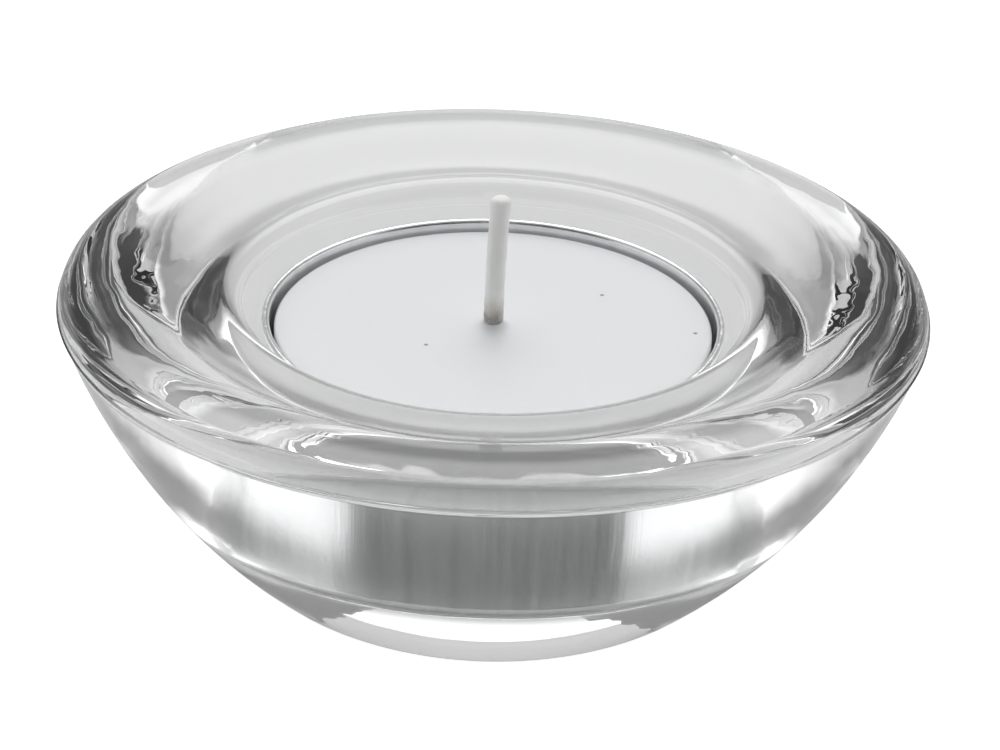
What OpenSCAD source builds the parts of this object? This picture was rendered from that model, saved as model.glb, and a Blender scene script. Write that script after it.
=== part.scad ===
// Tealight holder: a thick pressed-glass dish with a round pocket that takes one
// standard tealight. The tealight is a drawn aluminium cup with a wax slug, a braided
// wick and the small tinplate sustainer that holds the wick upright on the cup's floor.
// Millimetres, +Z up. The origin is the centre of the flat base.

/* [Glass holder] */
// Widest diameter, at the mould's parting line
holder_d = 72; // [70:1:78]
// Height of the parting line above the base
parting_z = 23.6; // [23.2:0.1:24.4]
// Height of the rim's crest above the bead
rim_h = 2.2; // [2.1:0.1:2.3]
// Radius of the rim's outer edge
edge_r = 2; // [1.8:0.1:2]
// Radius of the rim's broad crown, from the edge in to the dish
crown_r = 12; // [10:1:13]
// Radius of the shallow hollow between the crown and the pocket's lip
dish_r = 7; // [6:1:12]
// How far the thin bead along the parting line stands out
bead_out = 0.15; // [0.1:0.05:0.3]
// Diameter of the flat base
base_d = 33; // [28:1:38]
// Radius between the base and the side
base_fillet = 6.5; // [5:0.5:8]
// Radius of the side's outward bulge, from base to parting line
side_bulge_r = 52; // [48:1:70]

/* [Pocket for the tealight] */
// Inside diameter of the pocket
pocket_d = 41; // [40:0.1:42]
// Thickness of the glass under the pocket
floor_t = 10; // [9:0.1:10.5]
// Height of the pocket's lip above the base
lip_z = 24.7; // [24.4:0.1:25]
// Rounding of the lip
lip_r = 1.6; // [1.2:0.1:1.8]
// Rounding between the pocket's wall and its floor
pocket_fillet = 0.8; // [0.4:0.1:1]

/* [Tealight cup] */
// Diameter over the rolled rim
cup_d = 38.4; // [37.5:0.1:39]
// Height of the cup
cup_h = 12.2; // [11.8:0.1:13]
// Thickness of the sheet
sheet_t = 0.25; // [0.2:0.05:0.3]
// Radius of the rolled rim's section
curl_r = 0.35; // [0.3:0.05:0.4]
// Outer radius of the cup's bottom corner
cup_corner = 1.2; // [1:0.1:1.5]

/* [Candle] */
// Gap between the wax and the cup's wall, from shrinkage
wax_gap = 0.4; // [0.35:0.05:0.6]
// How far the wax lies below the cup's rim
wax_drop = 0.8; // [0.6:0.1:1.5]
// Diameter of the wick
wick_d = 1.8; // [1.4:0.1:2]
// Length of wick above the wax
wick_up = 11.7; // [8:0.1:13]
// Diameter of the sustainer's disc
disc_d = 13; // [11:0.5:16]
// Height of the sustainer's crimped neck
neck_h = 4.5; // [3:0.5:6]
// Thickness of the neck's wall
neck_t = 0.35; // [0.3:0.05:0.5]

/* [Hidden] */

holder_r = holder_d / 2;
base_r = base_d / 2;
pocket_r = pocket_d / 2;
// The bead is a half round that stands on the wall, so the wall stops short of the full radius.
wall_r = holder_r - bead_out;

// Points along an arc, from angle a to angle b in n steps.
function arc(centre, r, a, b, n) =
    [for (i = [0:n]) centre + r * [cos(a + (b - a) * i / n), sin(a + (b - a) * i / n)]];
function bearing(v) = atan2(v[1], v[0]);

// The side is an arc that is tangent to the base fillet and ends at the parting line, so
// its centre is (bulge - fillet) from the fillet's centre and one bulge from that end.
fillet_c = [base_r, base_fillet];
parting = [wall_r, parting_z - bead_out];
span = norm(parting - fillet_c);
near = side_bulge_r - base_fillet;
along = (near * near - side_bulge_r * side_bulge_r + span * span) / (2 * span);
ahead = (parting - fillet_c) / span;
side_c = fillet_c + along * ahead + sqrt(near * near - along * along) * [-ahead[1], ahead[0]];
side_start = bearing(fillet_c - side_c);
side_end = bearing(parting - side_c);

// The rim rises from the bead with a small edge radius and runs on into a broad crown, which
// shares the edge's tangent where they meet. The crown's highest point lies rim_h above the bead.
edge_c = [wall_r - edge_r, parting_z + bead_out];
turn = acos((crown_r - rim_h) / (crown_r - edge_r));
crown_c = edge_c - (crown_r - edge_r) * [sin(turn), cos(turn)];

// The dish is a hollow arc that touches both roundings from above, so its centre is one
// dish radius beyond each of them.
lip_c = [pocket_r + lip_r, lip_z - lip_r];
reach = norm(crown_c - lip_c);
off_lip = lip_r + dish_r;
off_crown = crown_r + dish_r;
outward = (crown_c - lip_c) / reach;
foot = (off_lip * off_lip - off_crown * off_crown + reach * reach) / (2 * reach);
dish_c = lip_c + foot * outward + sqrt(off_lip * off_lip - foot * foot) * [-outward[1], outward[0]];
crown_end = bearing(dish_c - crown_c);
lip_start = bearing(dish_c - lip_c);

pocket_fillet_c = [pocket_r - pocket_fillet, floor_t + pocket_fillet];

GLASS_OUTLINE = concat(
    [[0, 0], [base_r, 0]],
    arc(fillet_c, base_fillet, -90, side_start, 8),
    arc(side_c, side_bulge_r, side_start, side_end, 12),
    arc([wall_r, parting_z], bead_out, -90, 90, 4),
    arc(edge_c, edge_r, 0, 90 - turn, 10),
    arc(crown_c, crown_r, 90 - turn, crown_end, 8),
    arc(dish_c, dish_r, crown_end - 180, lip_start - 180, 8),
    arc(lip_c, lip_r, lip_start, 180, 8),
    arc(pocket_fillet_c, pocket_fillet, 0, -90, 4),
    [[0, floor_t]]);

// Tealight
cup_z = floor_t;
cup_top = cup_z + cup_h;
curl_c = [cup_d / 2 - curl_r, cup_top - curl_r];
cup_r = curl_c[0] - curl_r + sheet_t;
cup_in = cup_r - sheet_t;
wax_r = cup_in - wax_gap;
wax_z = cup_z + sheet_t;
wax_top = cup_top - wax_drop;
wax_edge = 0.5;
wick_r = wick_d / 2;
wick_z = wax_z + sheet_t;
wick_top = wax_top + wick_up;
wick_chamfer = 0.3;
neck_top = wick_z + neck_h;
SMOOTH = 96;

module glass_holder() {
    color([0.90, 0.93, 0.92, 0.5])
        rotate_extrude($fn = SMOOTH) polygon(GLASS_OUTLINE);
}

// One sheet, drawn down to a flat floor and rolled outwards into a bead at its rim.
module tealight_cup() {
    corner_c = [cup_r - cup_corner, cup_z + cup_corner];
    color("silver")
        rotate_extrude($fn = SMOOTH) {
            polygon(concat(
                [[0, cup_z]],
                arc(corner_c, cup_corner, -90, 0, 6),
                [[cup_r, curl_c[1]], [cup_in, curl_c[1]]],
                arc(corner_c, cup_corner - sheet_t, 0, -90, 6),
                [[0, cup_z + sheet_t]]));
            translate(curl_c) circle(curl_r, $fn = 24);
        }
}

// The slug has a soft top edge. The sustainer and the wick are cast into it.
module wax() {
    corner = cup_corner - sheet_t;
    corner_c = [wax_r - corner, wax_z + corner];
    color("white")
        difference() {
            rotate_extrude($fn = SMOOTH)
                polygon(concat(
                    [[0, wax_z]],
                    arc(corner_c, corner, -90, 0, 6),
                    arc([wax_r - wax_edge, wax_top - wax_edge], wax_edge, 0, 90, 6),
                    [[0, wax_top]]));
            translate([0, 0, wax_z]) cylinder(h = sheet_t, d = disc_d, $fn = SMOOTH);
            translate([0, 0, wick_z]) cylinder(h = neck_h, r = wick_r + neck_t, $fn = 48);
            translate([0, 0, neck_top]) cylinder(h = wax_top, r = wick_r, $fn = 48);
        }
}

module wick() {
    color("ivory")
        translate([0, 0, wick_z]) {
            cylinder(h = wick_top - wick_z - wick_chamfer, r = wick_r, $fn = 48);
            translate([0, 0, wick_top - wick_z - wick_chamfer])
                cylinder(h = wick_chamfer, r1 = wick_r, r2 = wick_r - wick_chamfer, $fn = 48);
        }
}

// A flat disc with a tubular neck that is crimped round the foot of the wick.
module wick_sustainer() {
    color("gray") {
        translate([0, 0, wax_z]) cylinder(h = sheet_t, d = disc_d, $fn = SMOOTH);
        translate([0, 0, wick_z])
            rotate_extrude($fn = 48) translate([wick_r, 0]) square([neck_t, neck_h]);
    }
}

glass_holder();
tealight_cup();
wax();
wick();
wick_sustainer();
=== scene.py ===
import math

import bmesh
import bpy
from mathutils import Matrix, Vector, noise

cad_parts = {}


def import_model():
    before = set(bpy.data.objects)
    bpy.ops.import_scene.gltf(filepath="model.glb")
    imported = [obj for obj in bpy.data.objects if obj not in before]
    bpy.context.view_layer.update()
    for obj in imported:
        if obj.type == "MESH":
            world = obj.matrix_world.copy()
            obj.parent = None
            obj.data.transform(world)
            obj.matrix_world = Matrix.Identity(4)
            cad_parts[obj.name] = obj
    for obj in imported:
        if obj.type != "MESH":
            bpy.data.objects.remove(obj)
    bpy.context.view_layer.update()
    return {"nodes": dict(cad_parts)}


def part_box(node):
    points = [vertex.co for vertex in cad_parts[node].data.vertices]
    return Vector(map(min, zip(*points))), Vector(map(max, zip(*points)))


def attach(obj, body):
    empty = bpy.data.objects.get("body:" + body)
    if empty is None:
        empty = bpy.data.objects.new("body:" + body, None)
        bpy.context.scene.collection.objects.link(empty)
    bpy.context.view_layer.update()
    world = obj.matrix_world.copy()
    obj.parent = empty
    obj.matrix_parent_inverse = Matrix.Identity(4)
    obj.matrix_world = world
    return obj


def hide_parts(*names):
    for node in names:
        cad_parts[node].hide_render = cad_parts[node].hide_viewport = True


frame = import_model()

MM = 0.001

# ---------------------------------------------------------------- sizes, in millimetres
# Taken from the frame, whose corners are in metres
GLASS_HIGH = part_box("glass_holder")[1]
CUP_LOW, CUP_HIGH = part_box("tealight_cup")
WAX_LOW, WAX_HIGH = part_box("wax")
WICK_LOW, WICK_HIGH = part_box("wick")
HOLDER_R = GLASS_HIGH[0] / MM
CREST_Z = GLASS_HIGH[2] / MM
CUP_R = CUP_HIGH[0] / MM
CUP_Z = CUP_LOW[2] / MM
CUP_TOP = CUP_HIGH[2] / MM
WAX_R = WAX_HIGH[0] / MM
WAX_Z = WAX_LOW[2] / MM
WAX_TOP = WAX_HIGH[2] / MM
WICK_R = WICK_HIGH[0] / MM
WICK_Z = WICK_LOW[2] / MM
WICK_TOP = WICK_HIGH[2] / MM

# Section of the glass, as in the CAD model
BEAD = 0.15
RIM_H = 2.2
EDGE_R = 2.0
CROWN_R = 12.0
DISH_R = 7.0
BASE_R = 16.5
BASE_FILLET = 6.5
BULGE_R = 52.0
POCKET_R = 20.5
LIP_Z = 24.7
LIP_R = 1.6
POCKET_FILLET = 0.8

# Ripples over all the glass: the most that each one takes away, and the height over which they
# fade in above the base
LONG_WAVE = 0.07
SHORT_WAVE = 0.016
RIPPLE_FADE = 3.0
# Crinkles on the upper part, from just inside the pocket's wall outwards
CRINKLE = 0.016
CRINKLE_R = POCKET_R - 0.5
CRINKLE_Z = 11.0
CRINKLE_FADE = 3.0
# Fine rings round the rim, counted outwards and down from a point at its top. Two spacings that beat
# against each other keep them uneven.
RINGS = 0.007
RINGS_R = 29.0
RINGS_Z = 21.0
RINGS_TOP = 26.0
RINGS_FADE = 2.0
RING_STEP = 1.1
RING_BEAT = 3.7
BEAT_PHASE = 1.0
# How far the rings stray, in ring spacings, and how fast they do so round the rim and across it
WANDER = 0.5
WANDER_ROUND = 0.06
WANDER_ACROSS = 0.8
# Streaks that the mould leaves in the middle of the base, in two directions that cross: their mean
# height, their slopes, how fast they vary along and across, the slice of the noise that they come
# from, the plain margin round them and the width over which they fade in
BASE_WAVE = 0.03
STREAK_SLOPES = (0.4, -0.3)
STREAK_ALONG = 0.10
STREAK_ACROSS = 0.75
STREAK_SLICE = 2.0
STREAK_MARGIN = 1.0
STREAK_FADE = 2.0
# Points lower than this lie on the flat base
ON_BASE = 0.01

# Section of the cup
SHEET = 0.25
CURL_R = 0.35
CUP_CORNER = 1.2
# Where the rolled rim leaves the wall, in degrees round its own centre
CURL_FROM = -120

# Top of the wax: how far it lies below the CAD model's, its rounded edge, its hollow middle with a
# ring-shaped trough at a share of the radius, the mound round the wick and the climb up its side
WAX_DROP = 0.02
WAX_EDGE = 0.25
HOLLOW = 0.14
TROUGH = 0.06
TROUGH_AT = 0.72
TROUGH_WIDTH = 2.5
MOUND = 0.12
MOUND_WIDTH = 2.6
CLIMB = 0.50
CLIMB_WIDTH = 0.35

# The wick's radius at its foot and its head, as shares of the CAD model's
FOOT_SHARE = 0.90
HEAD_SHARE = 0.97
# Its rounded tip
TIP_R = 0.40
TIP_Z = WICK_TOP - 0.42
TIP_FLAT_R = 0.25
SHANK_TOP = WICK_TOP - 0.45
# Its braid: how deep the grooves are, how many ridges go round, their pitch in radians to a
# millimetre, and the depth of the lumps in the wax coat
BRAID_DEPTH = 0.05
BRAID_LOBES = 3
BRAID_PITCH = 2.6
LUMP_DEPTH = 0.05
# How far its tip leans to the right, by bending and in a straight line, and backwards
BEND_RIGHT = 0.30
LEAN_RIGHT = 0.04
LEAN_BACK = 0.05


# ---------------------------------------------------------------- outlines, as (radius, height)
def arc(centre, radius, start, end, steps):
    """Points along an arc, with its angles in degrees."""
    turns = [math.radians(start + (end - start) * i / steps) for i in range(steps + 1)]
    return [(centre[0] + radius * math.cos(t), centre[1] + radius * math.sin(t)) for t in turns]


def line(a, b, steps):
    """Points between a and b, without either."""
    return [(a[0] + (b[0] - a[0]) * i / steps, a[1] + (b[1] - a[1]) * i / steps) for i in range(1, steps)]


def bearing(x, y):
    return math.degrees(math.atan2(y, x))


def glass_outline():
    """The holder's section, from the centre of the base round to the centre of the pocket's floor."""
    wall_r = HOLDER_R - BEAD
    parting_z = CREST_Z - RIM_H - BEAD

    # The rim's edge runs on into the crown with the same tangent
    edge_c = Vector((wall_r - EDGE_R, parting_z + BEAD))
    lean = math.acos((CROWN_R - RIM_H) / (CROWN_R - EDGE_R))
    crown_c = edge_c - (CROWN_R - EDGE_R) * Vector((math.sin(lean), math.cos(lean)))
    edge_end = 90 - math.degrees(lean)

    # The side is tangent to the base's fillet and ends at the parting line
    fillet_c = Vector((BASE_R, BASE_FILLET))
    parting = Vector((wall_r, parting_z - BEAD))
    ahead = (parting - fillet_c).normalized()
    span, near = (parting - fillet_c).length, BULGE_R - BASE_FILLET
    along = (near**2 - BULGE_R**2 + span**2) / (2 * span)
    side_c = fillet_c + along * ahead + math.sqrt(near**2 - along**2) * Vector((-ahead.y, ahead.x))
    side_start = bearing(*(fillet_c - side_c))
    side_end = bearing(*(parting - side_c))

    # The dish touches the crown and the pocket's lip from above
    lip_c = Vector((POCKET_R + LIP_R, LIP_Z - LIP_R))
    reach, outward = (crown_c - lip_c).length, (crown_c - lip_c).normalized()
    off_lip, off_crown = LIP_R + DISH_R, CROWN_R + DISH_R
    foot = (off_lip**2 - off_crown**2 + reach**2) / (2 * reach)
    dish_c = lip_c + foot * outward + math.sqrt(off_lip**2 - foot**2) * Vector((-outward.y, outward.x))
    crown_end, lip_start = bearing(*(dish_c - crown_c)), bearing(*(dish_c - lip_c))

    base_start, base_end = (0.0, 0.0), (BASE_R, 0.0)
    edge = arc(edge_c, EDGE_R, 0, edge_end, steps=28)
    crown = arc(crown_c, CROWN_R, edge_end, crown_end, steps=26)[1:]
    dish = arc(dish_c, DISH_R, crown_end - 180, lip_start - 180, steps=26)[1:-1]
    lip = arc(lip_c, LIP_R, lip_start, 180, steps=18)
    floor_fillet = arc((POCKET_R - POCKET_FILLET, CUP_Z + POCKET_FILLET), POCKET_FILLET, 0, -90, steps=8)
    return (
        [base_start]
        + line(base_start, base_end, steps=40)
        + arc(fillet_c, BASE_FILLET, -90, side_start, steps=16)
        + arc(side_c, BULGE_R, side_start, side_end, steps=46)[1:]
        + arc((wall_r, parting_z), BEAD, -90, 90, steps=8)[1:-1]
        + edge
        + crown
        + dish
        + lip
        + line(lip[-1], floor_fillet[0], steps=26)
        + floor_fillet
        + line(floor_fillet[-1], (0.0, CUP_Z), steps=12)
        + [(0.0, CUP_Z)]
    )


def cup_outline():
    """The cup's sheet, with its rim rolled outwards."""
    curl_c = (CUP_R - CURL_R, CUP_TOP - CURL_R)
    wall_r = CUP_R - 2 * CURL_R + SHEET
    corner_c = (wall_r - CUP_CORNER, CUP_Z + CUP_CORNER)
    outside = arc(corner_c, CUP_CORNER, -90, 0, steps=8)
    inside = arc(corner_c, CUP_CORNER - SHEET, 0, -90, steps=8)
    curl = arc(curl_c, CURL_R, CURL_FROM, 180, steps=20)
    return (
        [(0.0, CUP_Z)]
        + line((0.0, CUP_Z), outside[0], steps=8)
        + outside
        + line(outside[-1], curl[0], steps=30)
        + curl
        + line(curl[-1], inside[0], steps=30)
        + inside
        + line(inside[-1], (0.0, CUP_Z + SHEET), steps=8)
        + [(0.0, CUP_Z + SHEET)]
    )


def bell(distance, width):
    """1 at no distance, falling away smoothly on both sides."""
    return math.exp(-((distance / width) ** 2))


def wax_outline():
    """The slug: flat below, soft at its top edge, slightly hollow above, and drawn up round the wick."""
    corner = CUP_CORNER - SHEET
    foot = arc((WAX_R - corner, WAX_Z + corner), corner, -90, 0, steps=8)
    shoulder_r = WAX_R - WAX_EDGE
    top = []
    top_steps = 90
    for i in range(top_steps + 1):
        r = shoulder_r * (1 - i / top_steps)
        sunk = HOLLOW * (1 - (r / shoulder_r) ** 2) + TROUGH * bell(r - TROUGH_AT * shoulder_r, TROUGH_WIDTH)
        raised = CLIMB * math.exp(-max(r - WICK_R, 0) / CLIMB_WIDTH) + MOUND * bell(r, MOUND_WIDTH)
        top.append((r, WAX_TOP - WAX_DROP - sunk + raised))
    # The rounded edge is eased down, so that it ends at the height where the top begins
    edge_steps = 10
    shoulder = arc((shoulder_r, WAX_TOP - WAX_DROP - WAX_EDGE), WAX_EDGE, 0, 90, steps=edge_steps)
    fall = top[0][1] - shoulder[-1][1]
    shoulder = [(r, z + fall * i / edge_steps) for i, (r, z) in enumerate(shoulder)]
    return (
        [(0.0, WAX_Z)]
        + line((0.0, WAX_Z), foot[0], steps=8)
        + foot
        + line(foot[-1], shoulder[0], steps=20)
        + shoulder
        + top[1:]
    )


def wick_outline():
    """The wick: a round cord, a little fuller towards its cut top."""
    foot_r, head_r = WICK_R * FOOT_SHARE, WICK_R * HEAD_SHARE
    shank = line((foot_r, WICK_Z), (head_r, SHANK_TOP), steps=150)
    tip = arc((head_r - TIP_R, TIP_Z), TIP_R, 0, 90, steps=6)
    return [(0.0, WICK_Z), (foot_r, WICK_Z)] + shank + tip + [(TIP_FLAT_R, WICK_TOP), (0.0, WICK_TOP)]


# ---------------------------------------------------------------- meshes
def lathe(name, outline, segments, shift=None):
    """Turns an outline that starts and ends on the axis into a closed mesh.

    shift(point, normal) moves each point.
    """
    grid, mesh = bmesh.new(), bpy.data.meshes.new(name)
    rings = []
    last = len(outline) - 1
    for i, (r, z) in enumerate(outline):
        before, after = outline[max(i - 1, 0)], outline[min(i + 1, last)]
        run = Vector((after[0] - before[0], after[1] - before[1])).normalized()
        around = 1 if i in (0, last) else segments
        ring = []
        for k in range(around):
            turn = 2 * math.pi * k / segments
            radial = Vector((math.cos(turn), math.sin(turn), 0))
            point = radial * r + Vector((0, 0, z))
            if shift:
                point = shift(point, radial * run.y - Vector((0, 0, run.x)))
            ring.append(grid.verts.new(point * MM))
        rings.append(ring)
    for low, high in zip(rings, rings[1:]):
        for k in range(segments):
            a, b = low[k % len(low)], low[(k + 1) % len(low)]
            c, d = high[(k + 1) % len(high)], high[k % len(high)]
            # Next to the axis two of the corners are the same point
            corners = list(dict.fromkeys((a, b, c, d)))
            face = grid.faces.new(corners)
            face.smooth = True
    grid.to_mesh(mesh)
    grid.free()
    piece = bpy.data.objects.new(name, mesh)
    bpy.context.scene.collection.objects.link(piece)
    return piece


def wave(point, per_mm, offset):
    """Smooth noise from 0 to 1. The offset keeps one wave from repeating another."""
    return (1 + noise.noise(point * per_mm + Vector(offset))) / 2


def fade_in(distance, length):
    """0 up to the start, and 1 from one length beyond it."""
    return min(max(distance, 0.0) / length, 1.0)


def base_streaks(point, across):
    """How far the streaks lift a point of the flat base."""
    streaks = []
    for slope in STREAK_SLOPES:
        along, side = point.x + slope * point.y, point.y - slope * point.x
        streaks.append(noise.noise(Vector((along * STREAK_ALONG, side * STREAK_ACROSS, STREAK_SLICE))))
    return BASE_WAVE * (1 + sum(streaks) / 2) * fade_in(BASE_R - STREAK_MARGIN - across, STREAK_FADE)


def mould_rings(point, across):
    """Rings from 0 to 1 that follow the rim and wander a little."""
    path = (across - RINGS_R) + (RINGS_TOP - point.z)
    place = Vector((point.x * WANDER_ROUND, point.y * WANDER_ROUND, path * WANDER_ACROSS))
    wander = WANDER * noise.noise(place)
    ring = math.sin(2 * math.pi * (path / RING_STEP + wander))
    beat = math.sin(2 * math.pi * path / RING_BEAT + BEAT_PHASE)
    return (1 + ring * beat) / 2


def glass_ripple(point, normal):
    """Pressed glass is never quite true: shallow ripples and mould rings, which only ever take glass away."""
    across = math.hypot(point.x, point.y)
    if point.z < ON_BASE:
        return point + Vector((0, 0, base_streaks(point, across)))
    depth = LONG_WAVE * wave(point, per_mm=0.085, offset=(3.1, 7.7, 1.9))
    depth += SHORT_WAVE * wave(point, per_mm=0.30, offset=(9.2, 0.4, 5.3))
    if across > CRINKLE_R and point.z > CRINKLE_Z:
        crinkle = wave(point, per_mm=0.45, offset=(1.7, 6.1, 4.4))
        depth += CRINKLE * crinkle * fade_in(point.z - CRINKLE_Z, CRINKLE_FADE)
    if across > RINGS_R and point.z > RINGS_Z:
        depth += RINGS * mould_rings(point, across) * fade_in(across - RINGS_R, RINGS_FADE)
    return point - normal * depth * fade_in(point.z, RIPPLE_FADE)


def wick_weave(point, normal):
    """The braid: crossing ridges that the wax coat has nearly filled, and a slight lean right and back."""
    turn, climb = BRAID_LOBES * math.atan2(point.y, point.x), BRAID_PITCH * point.z
    groove = (1 - max(math.sin(turn + climb), math.sin(turn - climb))) / 2
    lumps = wave(point, per_mm=0.9, offset=(4.0, 2.0, 0.0))
    point = point - normal * (BRAID_DEPTH * groove + LUMP_DEPTH * lumps)
    up = max(point.z - WAX_TOP, 0.0) / (WICK_TOP - WAX_TOP)
    return point + Vector((BEND_RIGHT * up * up + LEAN_RIGHT * up, LEAN_BACK * up, 0.0))


# ---------------------------------------------------------------- shader nodes
def material(name):
    """A new material, with its nodes, its links and its main shader."""
    made = bpy.data.materials.new(name)
    made.use_nodes = True
    nodes = made.node_tree.nodes
    return made, nodes, made.node_tree.links, nodes["Principled BSDF"]


def adjust(node, values):
    """Sets a node's sockets by name."""
    for name, value in values.items():
        node.inputs[name].default_value = value


def calculate(nodes, links, operation, *values):
    """A calculation on numbers and other nodes' outputs."""
    node = nodes.new("ShaderNodeMath")
    node.operation = operation
    for socket, value in zip(node.inputs, values):
        if isinstance(value, float):
            socket.default_value = value
        else:
            links.new(value, socket)
    return node.outputs["Value"]


def ramp(nodes, links, value, start, end, low, high, curve="LINEAR"):
    """Goes from low to high as the value goes from start to end."""
    step = nodes.new("ShaderNodeMapRange")
    step.interpolation_type = curve
    adjust(step, {"From Min": start, "From Max": end, "To Min": low, "To Max": high})
    links.new(value, step.inputs["Value"])
    return step.outputs["Result"]


def tint(nodes, links, mask, low, high):
    """A colour that goes from low to high as the mask goes from 0 to 1."""
    blend = nodes.new("ShaderNodeMix")
    blend.data_type = "RGBA"
    links.new(mask, blend.inputs[0])
    for socket, colour in ((6, low), (7, high)):
        if isinstance(colour, tuple):
            blend.inputs[socket].default_value = colour + (1,)
        else:
            links.new(colour, blend.inputs[socket])
    return blend.outputs[2]


def stretched(nodes, links, x, y, z):
    """The object's own coordinates, scaled along each axis."""
    place = nodes.new("ShaderNodeTexCoord")
    stretch = nodes.new("ShaderNodeMapping")
    stretch.inputs["Scale"].default_value = (x, y, z)
    links.new(place.outputs["Object"], stretch.inputs["Vector"])
    return stretch.outputs["Vector"]


def noise_bump(nodes, links, shader, vector, scale, detail, strength, distance):
    """A fine grain in the surface. Returns the grain, to shade by."""
    grain = nodes.new("ShaderNodeTexNoise")
    adjust(grain, {"Scale": scale, "Detail": detail})
    links.new(vector, grain.inputs["Vector"])
    bump = nodes.new("ShaderNodeBump")
    adjust(bump, {"Strength": strength, "Distance": distance})
    links.new(grain.outputs["Fac"], bump.inputs["Height"])
    links.new(bump.outputs["Normal"], shader.inputs["Normal"])
    return grain.outputs["Fac"]


def speckle(nodes, links, place, scale, size, threshold):
    """A mask of small dots: 1 inside one. A cell keeps its dot if its random shade is above the threshold."""
    cells = nodes.new("ShaderNodeTexVoronoi")
    cells.voronoi_dimensions = "2D"
    cells.inputs["Scale"].default_value = scale
    links.new(place, cells.inputs["Vector"])
    soft_edge = size * 1.5
    dots = ramp(nodes, links, cells.outputs["Distance"], size, soft_edge, 1.0, 0.0)
    chosen = calculate(nodes, links, "GREATER_THAN", cells.outputs["Color"], threshold)
    return calculate(nodes, links, "MULTIPLY", dots, chosen)


# ---------------------------------------------------------------- materials
def glass_material():
    made, nodes, links, shader = material("pressed_glass")
    adjust(shader, {
        "Base Color": (0.982, 0.990, 0.985, 1),
        "Transmission Weight": 1.0,
        "IOR": 1.52,
        "Roughness": 0.0,
    })
    place = nodes.new("ShaderNodeTexCoord").outputs["Object"]
    noise_bump(nodes, links, shader, place, scale=180, detail=2, strength=0.25, distance=0.00008)
    return made


def aluminium_material():
    """Drawn sheet, with fine upright draw marks that are also its rougher stretches."""
    made, nodes, links, shader = material("drawn_aluminium")
    shader.inputs["Metallic"].default_value = 1.0
    upright = stretched(nodes, links, 1, 1, 0.03)
    marks = noise_bump(nodes, links, shader, upright, scale=900, detail=5, strength=0.5, distance=0.00008)
    dull, bright = (0.72, 0.73, 0.74), (0.90, 0.905, 0.91)
    links.new(tint(nodes, links, marks, dull, bright), shader.inputs["Base Color"])
    links.new(ramp(nodes, links, marks, 0.0, 1.0, 0.14, 0.32), shader.inputs["Roughness"])
    return made


def wax_material():
    """White wax, faintly clouded, with a few small dark specks."""
    made, nodes, links, shader = material("paraffin_wax")
    place = stretched(nodes, links, 1, 1, 1)
    cloud = noise_bump(nodes, links, shader, place, scale=300, detail=3, strength=0.10, distance=0.0001)
    plain = tint(nodes, links, cloud, (0.885, 0.90, 0.93), (0.905, 0.915, 0.935))
    specks = speckle(nodes, links, place, scale=95, size=0.013, threshold=0.55)
    dark = (0.30, 0.29, 0.28)
    links.new(tint(nodes, links, specks, plain, dark), shader.inputs["Base Color"])
    adjust(shader, {
        "Subsurface Weight": 0.6,
        "Subsurface Radius": (1.0, 0.95, 0.9),
        "Subsurface Scale": 0.0025,
        "Roughness": 0.42,
    })
    return made


def cotton_material():
    """Waxed cotton: nearly white, with a blotchy brownish stain at its foot."""
    made, nodes, links, shader = material("braided_cotton")
    place = stretched(nodes, links, 1, 1, 1)
    strands = stretched(nodes, links, 1, 1, 0.3)
    fibres = noise_bump(nodes, links, shader, strands, scale=2600, detail=3, strength=0.35, distance=0.00006)
    plain = tint(nodes, links, fibres, (0.93, 0.925, 0.89), (0.98, 0.975, 0.95))
    split = nodes.new("ShaderNodeSeparateXYZ")
    links.new(place, split.inputs["Vector"])
    stain_from, stain_to = (WAX_TOP + 0.6) * MM, (WAX_TOP + 3.4) * MM
    fade = ramp(nodes, links, split.outputs["Z"], stain_from, stain_to, 1.1, 0.0, "SMOOTHSTEP")
    blotch = nodes.new("ShaderNodeTexNoise")
    blotch.inputs["Scale"].default_value = 1400
    links.new(place, blotch.inputs["Vector"])
    patchy = calculate(nodes, links, "MULTIPLY", fade, blotch.outputs["Fac"])
    stain = (0.16, 0.12, 0.10)
    links.new(tint(nodes, links, patchy, plain, stain), shader.inputs["Base Color"])
    adjust(shader, {
        "Subsurface Weight": 0.8,
        "Subsurface Radius": (1.0, 0.95, 0.85),
        "Subsurface Scale": 0.0015,
        "Roughness": 0.5,
    })
    return made


def tinplate_material():
    made, nodes, links, shader = material("stamped_tinplate")
    adjust(shader, {"Metallic": 1.0, "Roughness": 0.35})
    place = stretched(nodes, links, 1, 1, 1)
    grain = noise_bump(nodes, links, shader, place, scale=1500, detail=3, strength=0.2, distance=0.00003)
    dull, bright = (0.58, 0.58, 0.57), (0.72, 0.72, 0.71)
    links.new(tint(nodes, links, grain, dull, bright), shader.inputs["Base Color"])
    return made


# ---------------------------------------------------------------- the pieces
def dress(piece, body, node, surface):
    piece.data.materials.clear()
    piece.data.materials.append(surface)
    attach(piece, body)
    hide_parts(node)


glass = lathe("glass_dish", glass_outline(), segments=360, shift=glass_ripple)
dress(glass, "holder", "glass_holder", glass_material())
cup = lathe("aluminium_cup", cup_outline(), segments=288)
dress(cup, "tealight", "tealight_cup", aluminium_material())
slug = lathe("wax_slug", wax_outline(), segments=192)
dress(slug, "candle", "wax", wax_material())
cord = lathe("braided_wick", wick_outline(), segments=48, shift=wick_weave)
dress(cord, "candle", "wick", cotton_material())
frame["nodes"]["wick_sustainer"].material_slots[0].material = tinplate_material()


# ---------------------------------------------------------------- studio
# The light tent. Angles are in degrees, and heights are above the table. The walls are bright up to
# their top, where a soft step leads to the gap between walls and roof. Behind and in front are
# directions round the object.
BEHIND = 0
IN_FRONT = 180
WALLS = 1.6
WALL_TOP = 12
WALL_STEP = 5
GAP = 0.42
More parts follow.
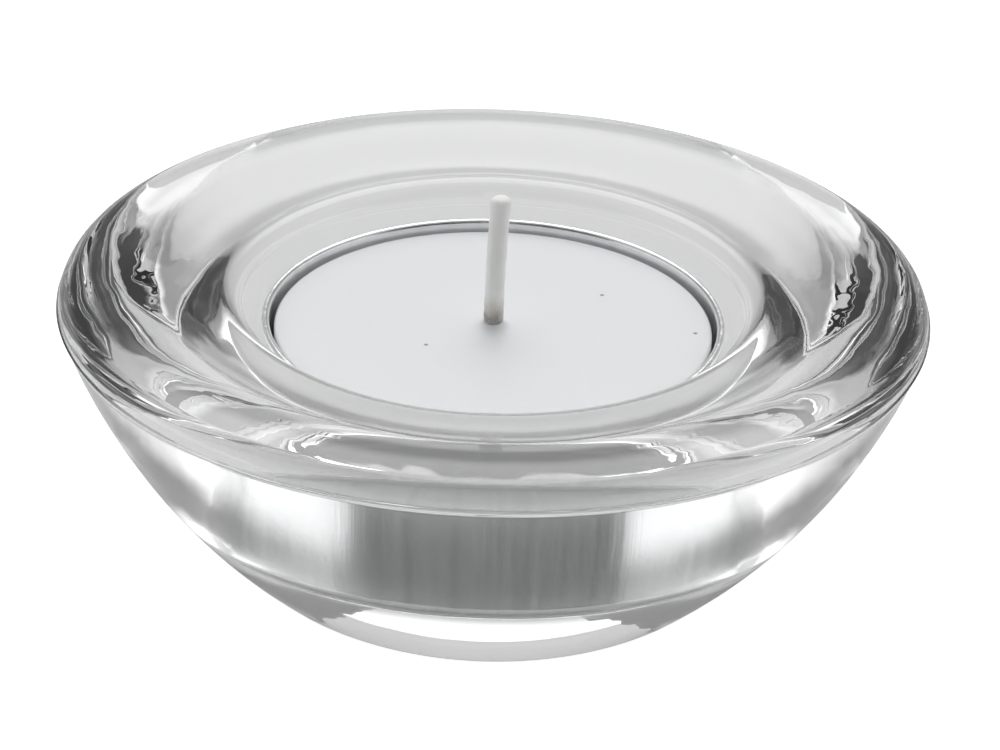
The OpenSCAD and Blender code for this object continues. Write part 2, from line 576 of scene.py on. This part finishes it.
# Light that the roof adds, from a soft step upwards
ROOF = 0.34
ROOF_FROM = 42
ROOF_STEP = 10
# Light that a round panel adds, high up behind the object
PANEL = 2.05
PANEL_UP = 57
PANEL_HALF = 18
PANEL_SOFT = 14
# Shares of the walls' and the gap's light that the far side and the opening in front keep. The
# opening faces the camera's place in the photograph's view, and stays there in other views.
FAR_SHARE = 0.6
FAR_HALF = 40
FAR_SOFT = 30
OPENING_SHARE = 0.08
OPENING_UP = 15
OPENING_HALF = 54
OPENING_SOFT = 9

# The floor, in metres. It glows a little, and more where the camera sees it directly.
FLOOR_SIZE = 6
FLOOR_COLOUR = (0.60, 0.60, 0.60, 1)
GLOW = 0.14
LIFT = 0.78

# The camera, in metres and degrees. It looks at a point inside the object.
TARGET_Z = 15 * MM
DISTANCE = 0.380
ELEVATION = 27.58
TILT = 1.8
LENS = 164.2


def floor():
    bpy.ops.mesh.primitive_plane_add(size=FLOOR_SIZE)
    plane = bpy.context.object
    plane.name = "studio_floor"
    made, nodes, links, shader = material("studio_floor")
    adjust(shader, {"Base Color": FLOOR_COLOUR, "Roughness": 0.7, "Emission Color": (1, 1, 1, 1)})
    seen = nodes.new("ShaderNodeLightPath").outputs["Is Camera Ray"]
    links.new(calculate(nodes, links, "MULTIPLY_ADD", seen, LIFT, GLOW), shader.inputs["Emission Strength"])
    plane.data.materials.append(made)


def world():
    """A white light tent: bright walls, a dim roof, a panel high up behind, a dark opening in front."""
    room = bpy.data.worlds.new("light_tent")
    bpy.context.scene.world = room
    room.use_nodes = True
    nodes, links = room.node_tree.nodes, room.node_tree.links
    direction = nodes.new("ShaderNodeTexCoord").outputs["Generated"]
    split = nodes.new("ShaderNodeSeparateXYZ")
    links.new(direction, split.inputs["Vector"])

    def rise(middle, half, below, above):
        """A soft step at a height, over half degrees to either side."""
        start, end = math.sin(math.radians(middle - half)), math.sin(math.radians(middle + half))
        return ramp(nodes, links, split.outputs["Z"], start, end, below, above, "SMOOTHSTEP")

    def patch(azimuth, up, half, soft, inside, outside):
        """A round soft-edged patch of the tent, centred on a direction."""
        facing = nodes.new("ShaderNodeVectorMath")
        facing.operation = "DOT_PRODUCT"
        links.new(direction, facing.inputs[0])
        a, u = math.radians(azimuth), math.radians(up)
        facing.inputs[1].default_value = (math.sin(a) * math.cos(u), math.cos(a) * math.cos(u), math.sin(u))
        edge, rim = math.cos(math.radians(half + soft)), math.cos(math.radians(half))
        return ramp(nodes, links, facing.outputs["Value"], edge, rim, outside, inside, "SMOOTHSTEP")

    walls = rise(WALL_TOP, WALL_STEP, WALLS, GAP)
    far = patch(BEHIND, 0, FAR_HALF, FAR_SOFT, FAR_SHARE, 1.0)
    opening = patch(IN_FRONT, OPENING_UP, OPENING_HALF, OPENING_SOFT, OPENING_SHARE, 1.0)
    sides = calculate(nodes, links, "MULTIPLY", calculate(nodes, links, "MULTIPLY", walls, far), opening)
    roof = rise(ROOF_FROM, ROOF_STEP, 0.0, ROOF)
    panel = patch(BEHIND, PANEL_UP, PANEL_HALF, PANEL_SOFT, PANEL, 0.0)
    light = calculate(nodes, links, "ADD", calculate(nodes, links, "ADD", sides, roof), panel)
    links.new(light, nodes["Background"].inputs["Strength"])
    nodes["Background"].inputs["Color"].default_value = (1, 1, 1, 1)


def camera():
    """The photograph's view: from the front and above, a little tilted about the camera's own axis."""
    up = math.radians(ELEVATION)
    data = bpy.data.cameras.new("camera")
    data.lens = LENS
    data.shift_x, data.shift_y = 0.009, 0.019
    data.clip_start = 0.01
    eye = bpy.data.objects.new("camera", data)
    bpy.context.scene.collection.objects.link(eye)
    place = Vector((0, 0, TARGET_Z)) + DISTANCE * Vector((0, -math.cos(up), math.sin(up)))
    aim = Matrix.Rotation(math.pi / 2 - up, 4, "X") @ Matrix.Rotation(math.radians(TILT), 4, "Z")
    eye.matrix_world = Matrix.Translation(place) @ aim
    bpy.context.scene.camera = eye


floor()
world()
camera()
scene = bpy.context.scene
scene.view_settings.view_transform = "Standard"
scene.cycles.max_bounces = 24
scene.cycles.transmission_bounces = 20
scene.cycles.glossy_bounces = 8
scene.cycles.diffuse_bounces = 4
